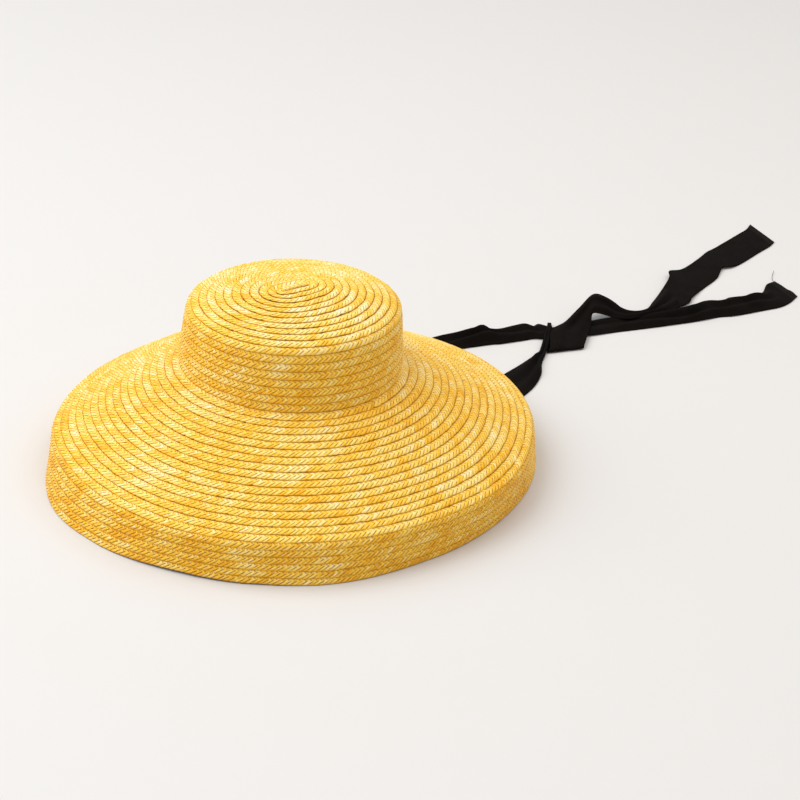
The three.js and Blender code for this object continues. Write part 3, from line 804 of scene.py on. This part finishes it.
# Wheat straw. Each pair of places is where something starts to show or to fade, and where
# it has done so.
strawLook = {
    "roughness": 0.40,
    "fibreRougher": 0.2,
    "glossSmoother": 0.12,
    "specular": 0.25,
    # tones, from 0, a deep yellow, to 1, a pale one
    "stops": [
        (0.00, (0.82, 0.35, 0.008)),
        (0.25, (0.95, 0.50, 0.016)),
        (0.50, (0.98, 0.62, 0.066)),
        (0.75, (0.99, 0.74, 0.220)),
        (1.00, (0.99, 0.86, 0.560)),
    ],
    # the usual tone, and how much each thing moves it
    "tone": 0.54,
    "patchTone": 0.95,
    "strandTone": 0.32,
    "fibreTone": 1.5,
    "wideTone": 0.45,
    "mottleTone": 0.7,
    # painted shade: more mottle where the wall and rim are made deeper
    "paintedShadeMottle": 3.0,
    # painted shade on the lip of each row
    "lipPaintedShade": 0.12,
    # painted light on the tip's rows, painted shade on the wall's and the rim's
    "tipPaintedLight": 0.10,
    "wallPaintedShade": 0.09,
    "rimPaintedShade": 0.18,
    # colours laid over the tone, and how strongly
    # painted highlight colour, laid on the glossier patches
    "highlightAndGloss": (0.97, 0.88, 0.66),
    "highlightAndGlossStrength": 0.8,
    # painted shade in the gaps between strands
    "gap": (0.28, 0.096, 0.006),
    "gapShadeStrength": 0.90,
    "upperGapShadeStrength": 0.85,
    # painted shade in the crevice between rows, a painted shadow below the row above, and dark dots
    # of painted shade
    "grooveShade": (0.66, 0.26, 0.006),
    "grooveShadeStrength": 0.66,
    "lipShadowStrength": 0.6,
    "shadeDotStrength": 0.62,
    "fleck": (0.10, 0.045, 0.015),
    "fleckFrom": 0.76,
    "fleckStrength": 0.7,
    # noise along the braid: how often to a strand, how often across, seed, detail
    "patchNoise": (0.21, 0.7, 0.0, 2.0),
    "mottleNoise": (3.1, 6.0, 11.0, 1.0),
    "glossNoise": (1.7, 2.3, 21.0, 2.0),
    "gapNoise": (0.9, 3.0, 7.0, 1.0),
    "grooveNoise": (0.9, 0.5, 3.0, 1.0),
    "fibreNoise": (15.0, 2.0, 3.7, 3.0),  # the seed is times the strand's number
    # noise in space: scale, detail
    "wideNoise": (16.0, 2.0),
    "fleckNoise": (420.0, 1.0),
    # places in the noise
    "glossFrom": (0.60, 0.76),
    "gapFrom": (0.22, 0.55),
    "grooveFrom": (0.10, 0.50),
    # places along the braid, in turns
    "tipEnds": (9, 12.5),
    "wallStarts": (11.5, 13),
    "wallEnds": (18, 20),
    "rimStarts": (34.5, 37),
    # places across the braid, 0 at its upper edge and 1 at its lower one
    "upperGapStarts": (0.26, 0.32),
    "upperGapEnds": (0.42, 0.52),
    "lowerGapStarts": (0.44, 0.56),
    "lowerGapEnds": (0.84, 0.94),
    "lipStarts": (0.74, 0.92),
    "grooveStarts": (0.90, 0.99),
    # how far across the row above covers the braid, and how much further on the rim; the painted
    # shadow beside the lip above fades out past there
    "covered": 0.22,
    "rimCovered": 0.10,
    "coveredFade": 0.08,
    # gaps between strands: which part of a strand, then how near the gap
    "lowerGap": (0.0, 0.68, 0.93),
    "upperGap": (0.5, 0.60, 0.95),
    "shadeDots": (0.0, 0.35, 0.9),
    "lowerGapWider": 0.9,
    "upperGapWider": 0.6,
    # relief
    "bumpStrength": 0.6,
    "bumpDepth": 0.0002,
    "gapDepth": 1.5,
}


def strawFinish():
    look = strawLook
    finish = Finish("wheatStraw")
    along, uvAcross = finish.uv("braidUV")
    across = uvAcross - (uvAcross > 1.12)  # the under side is 1 further across in the UV
    strand = along.floor()
    place = finish.objectPlace()

    def noiseAt(alongScale, acrossScale, seed, detail):
        spot = finish.vector(along * alongScale, across * acrossScale, seed)
        return finish.noise(spot, 1.0, detail)

    def reached(name):
        return finish.smooth(along, *[strandAt(turn) for turn in look[name]])

    def past(name, top=1.0):
        return finish.smooth(across, *look[name], top)

    # how near a point is to the gap between two strands, 1 in the gap
    def gapAt(name, wider=0.0):
        offset, low, high = look[name]
        away = (along + offset).part() - 0.5
        return finish.smooth(away.size() * 2.0, low - wider, high)

    own = finish.node("ShaderNodeTexWhiteNoise", {"noise_dimensions": "1D"}, {"W": strand})
    wide = finish.noise(place, *look["wideNoise"])
    patch = noiseAt(*look["patchNoise"])
    mottle = noiseAt(*look["mottleNoise"])
    fibreAlong, fibreAcross, fibreSeed, fibreDetail = look["fibreNoise"]
    fibre = noiseAt(fibreAlong, fibreAcross, strand * fibreSeed, fibreDetail)
    # painted shade makes the wall's rows and the rim's a deeper, more orange yellow, as in shade,
    # and painted light makes the tip's rows a paler one, as lit from above
    wallRows = reached("wallStarts") - reached("wallEnds")
    rimRows = reached("rimStarts")
    tipRows = 1 - reached("tipEnds")
    paintedShade = wallRows * look["wallPaintedShade"] + rimRows * look["rimPaintedShade"]
    # the tone is also lowered on each row's lip, as painted shade
    tone = (look["tone"] + (patch - 0.5) * look["patchTone"] + (own - 0.5) * look["strandTone"]
            + (fibre - 0.5) * look["fibreTone"] + (wide - 0.5) * look["wideTone"]
            + (mottle - 0.5) * (look["mottleTone"] + paintedShade * look["paintedShadeMottle"]) - paintedShade
            + tipRows * look["tipPaintedLight"] - past("lipStarts", look["lipPaintedShade"]))
    colour = finish.ramp(tone, look["stops"])
    # painted highlights: glossy pale strands here and there, whose patches are also made less rough
    highlightAndGloss = finish.smooth(noiseAt(*look["glossNoise"]), *look["glossFrom"], look["highlightAndGlossStrength"])
    colour = finish.cover(highlightAndGloss, colour, look["highlightAndGloss"])
    # painted shade in the slanting gaps between strands on the lower half, and in smaller ones
    # between them on the upper half; the gaps are wider where the wall and rim have painted shade
    lower = past("lowerGapStarts") * (1 - past("lowerGapEnds"))
    upper = past("upperGapStarts") * (1 - past("upperGapEnds"))
    uneven = finish.smooth(noiseAt(*look["gapNoise"]), *look["gapFrom"])
    gap = gapAt("lowerGap", paintedShade * look["lowerGapWider"]) * lower * uneven
    gap = gap + (gapAt("upperGap", paintedShade * look["upperGapWider"]) * upper
                 * look["upperGapShadeStrength"])
    colour = finish.cover(gap * look["gapShadeStrength"], colour, look["gap"])
    # painted shade: an orange line in the crevice between the rows, on the lip, and a painted
    # shadow beside the lip above, with dark dots of painted shade where the strands meet it
    covered = look["covered"] + rimRows * look["rimCovered"]
    lipShadow = 1 - finish.smooth(across, covered, covered + look["coveredFade"])
    grooveShade = past("grooveStarts") + lipShadow * look["lipShadowStrength"]
    grooveShade = grooveShade * finish.smooth(noiseAt(*look["grooveNoise"]), *look["grooveFrom"])
    colour = finish.cover(grooveShade * look["grooveShadeStrength"], colour, look["grooveShade"])
    colour = finish.cover(grooveShade * gapAt("shadeDots") * look["shadeDotStrength"], colour, look["gap"])
    # brown flecks
    fleck = finish.noise(place, *look["fleckNoise"]) > look["fleckFrom"]
    colour = finish.cover(fleck * look["fleckStrength"], colour, look["fleck"])
    bump = finish.bump(fibre - gap * look["gapDepth"], look["bumpStrength"], look["bumpDepth"])
    rough = look["roughness"] + fibre * look["fibreRougher"] - highlightAndGloss * look["glossSmoother"]
    finish.give(base_color=colour, roughness=rough, normal=bump)
    finish.give(specular_ior_level=look["specular"])
    return finish.material


straw = strawFinish()
for name, firstTurn, lastTurn, node in braid["pieces"]:
    braidPiece(name, firstTurn, lastTurn, straw, node)

# Floor and light
studio = {
    "floor": (0.665, 0.656, 0.652),
    "floorSize": 12,
    "floorRoughness": 0.7,
    "grain": (0.8, 0.8, 0.8),
    "grainShare": 0.05,
    "grainScale": 300.0,
    "grainDetail": 2.0,
    "world": 0.60,
    "lights": [
        {"from": (-1.15, -1.50, 2.40), "aim": (0, 0, 0.05), "size": 2.9, "watts": 82,
         "colour": (0.985, 1.0, 1.0)},
        {"from": (0.3, 1.2, 2.6), "aim": (0.3, 0.8, 0), "size": 2.6, "watts": 27,
         "colour": (1.0, 0.89, 0.77)},
    ],
}


def studioFloor():
    bpy.ops.mesh.primitive_plane_add(size=studio["floorSize"], location=(0, 0, 0))
    floor = bpy.context.object
    floor.name = "floor"
    paper = Finish("palePaper")
    grain = paper.node("ShaderNodeTexNoise", {},
                       {"Scale": studio["grainScale"], "Detail": studio["grainDetail"]})
    colour = paper.cover(grain * studio["grainShare"], (*studio["floor"], 1), studio["grain"])
    paper.give(base_color=colour, roughness=studio["floorRoughness"])
    floor.data.materials.append(paper.material)


def studioLight(light):
    place = Vector(light["from"])
    bpy.ops.object.light_add(type="AREA", location=place)
    lamp = bpy.context.object
    lamp.data.size = light["size"]
    lamp.data.energy = light["watts"]
    lamp.data.color = light["colour"]
    lamp.rotation_mode = "QUATERNION"
    lamp.rotation_quaternion = (place - Vector(light["aim"])).to_track_quat("Z", "Y")


def studioWorld():
    world = bpy.data.worlds.new("studio")
    world.use_nodes = True
    background = world.node_tree.nodes["Background"]
    background.inputs["Color"].default_value = (1, 1, 1, 1)
    background.inputs["Strength"].default_value = studio["world"]
    bpy.context.scene.world = world
    bpy.context.scene.view_settings.view_transform = "Standard"


studioFloor()
for light in studio["lights"]:
    studioLight(light)
studioWorld()
print("stage: floor and light")
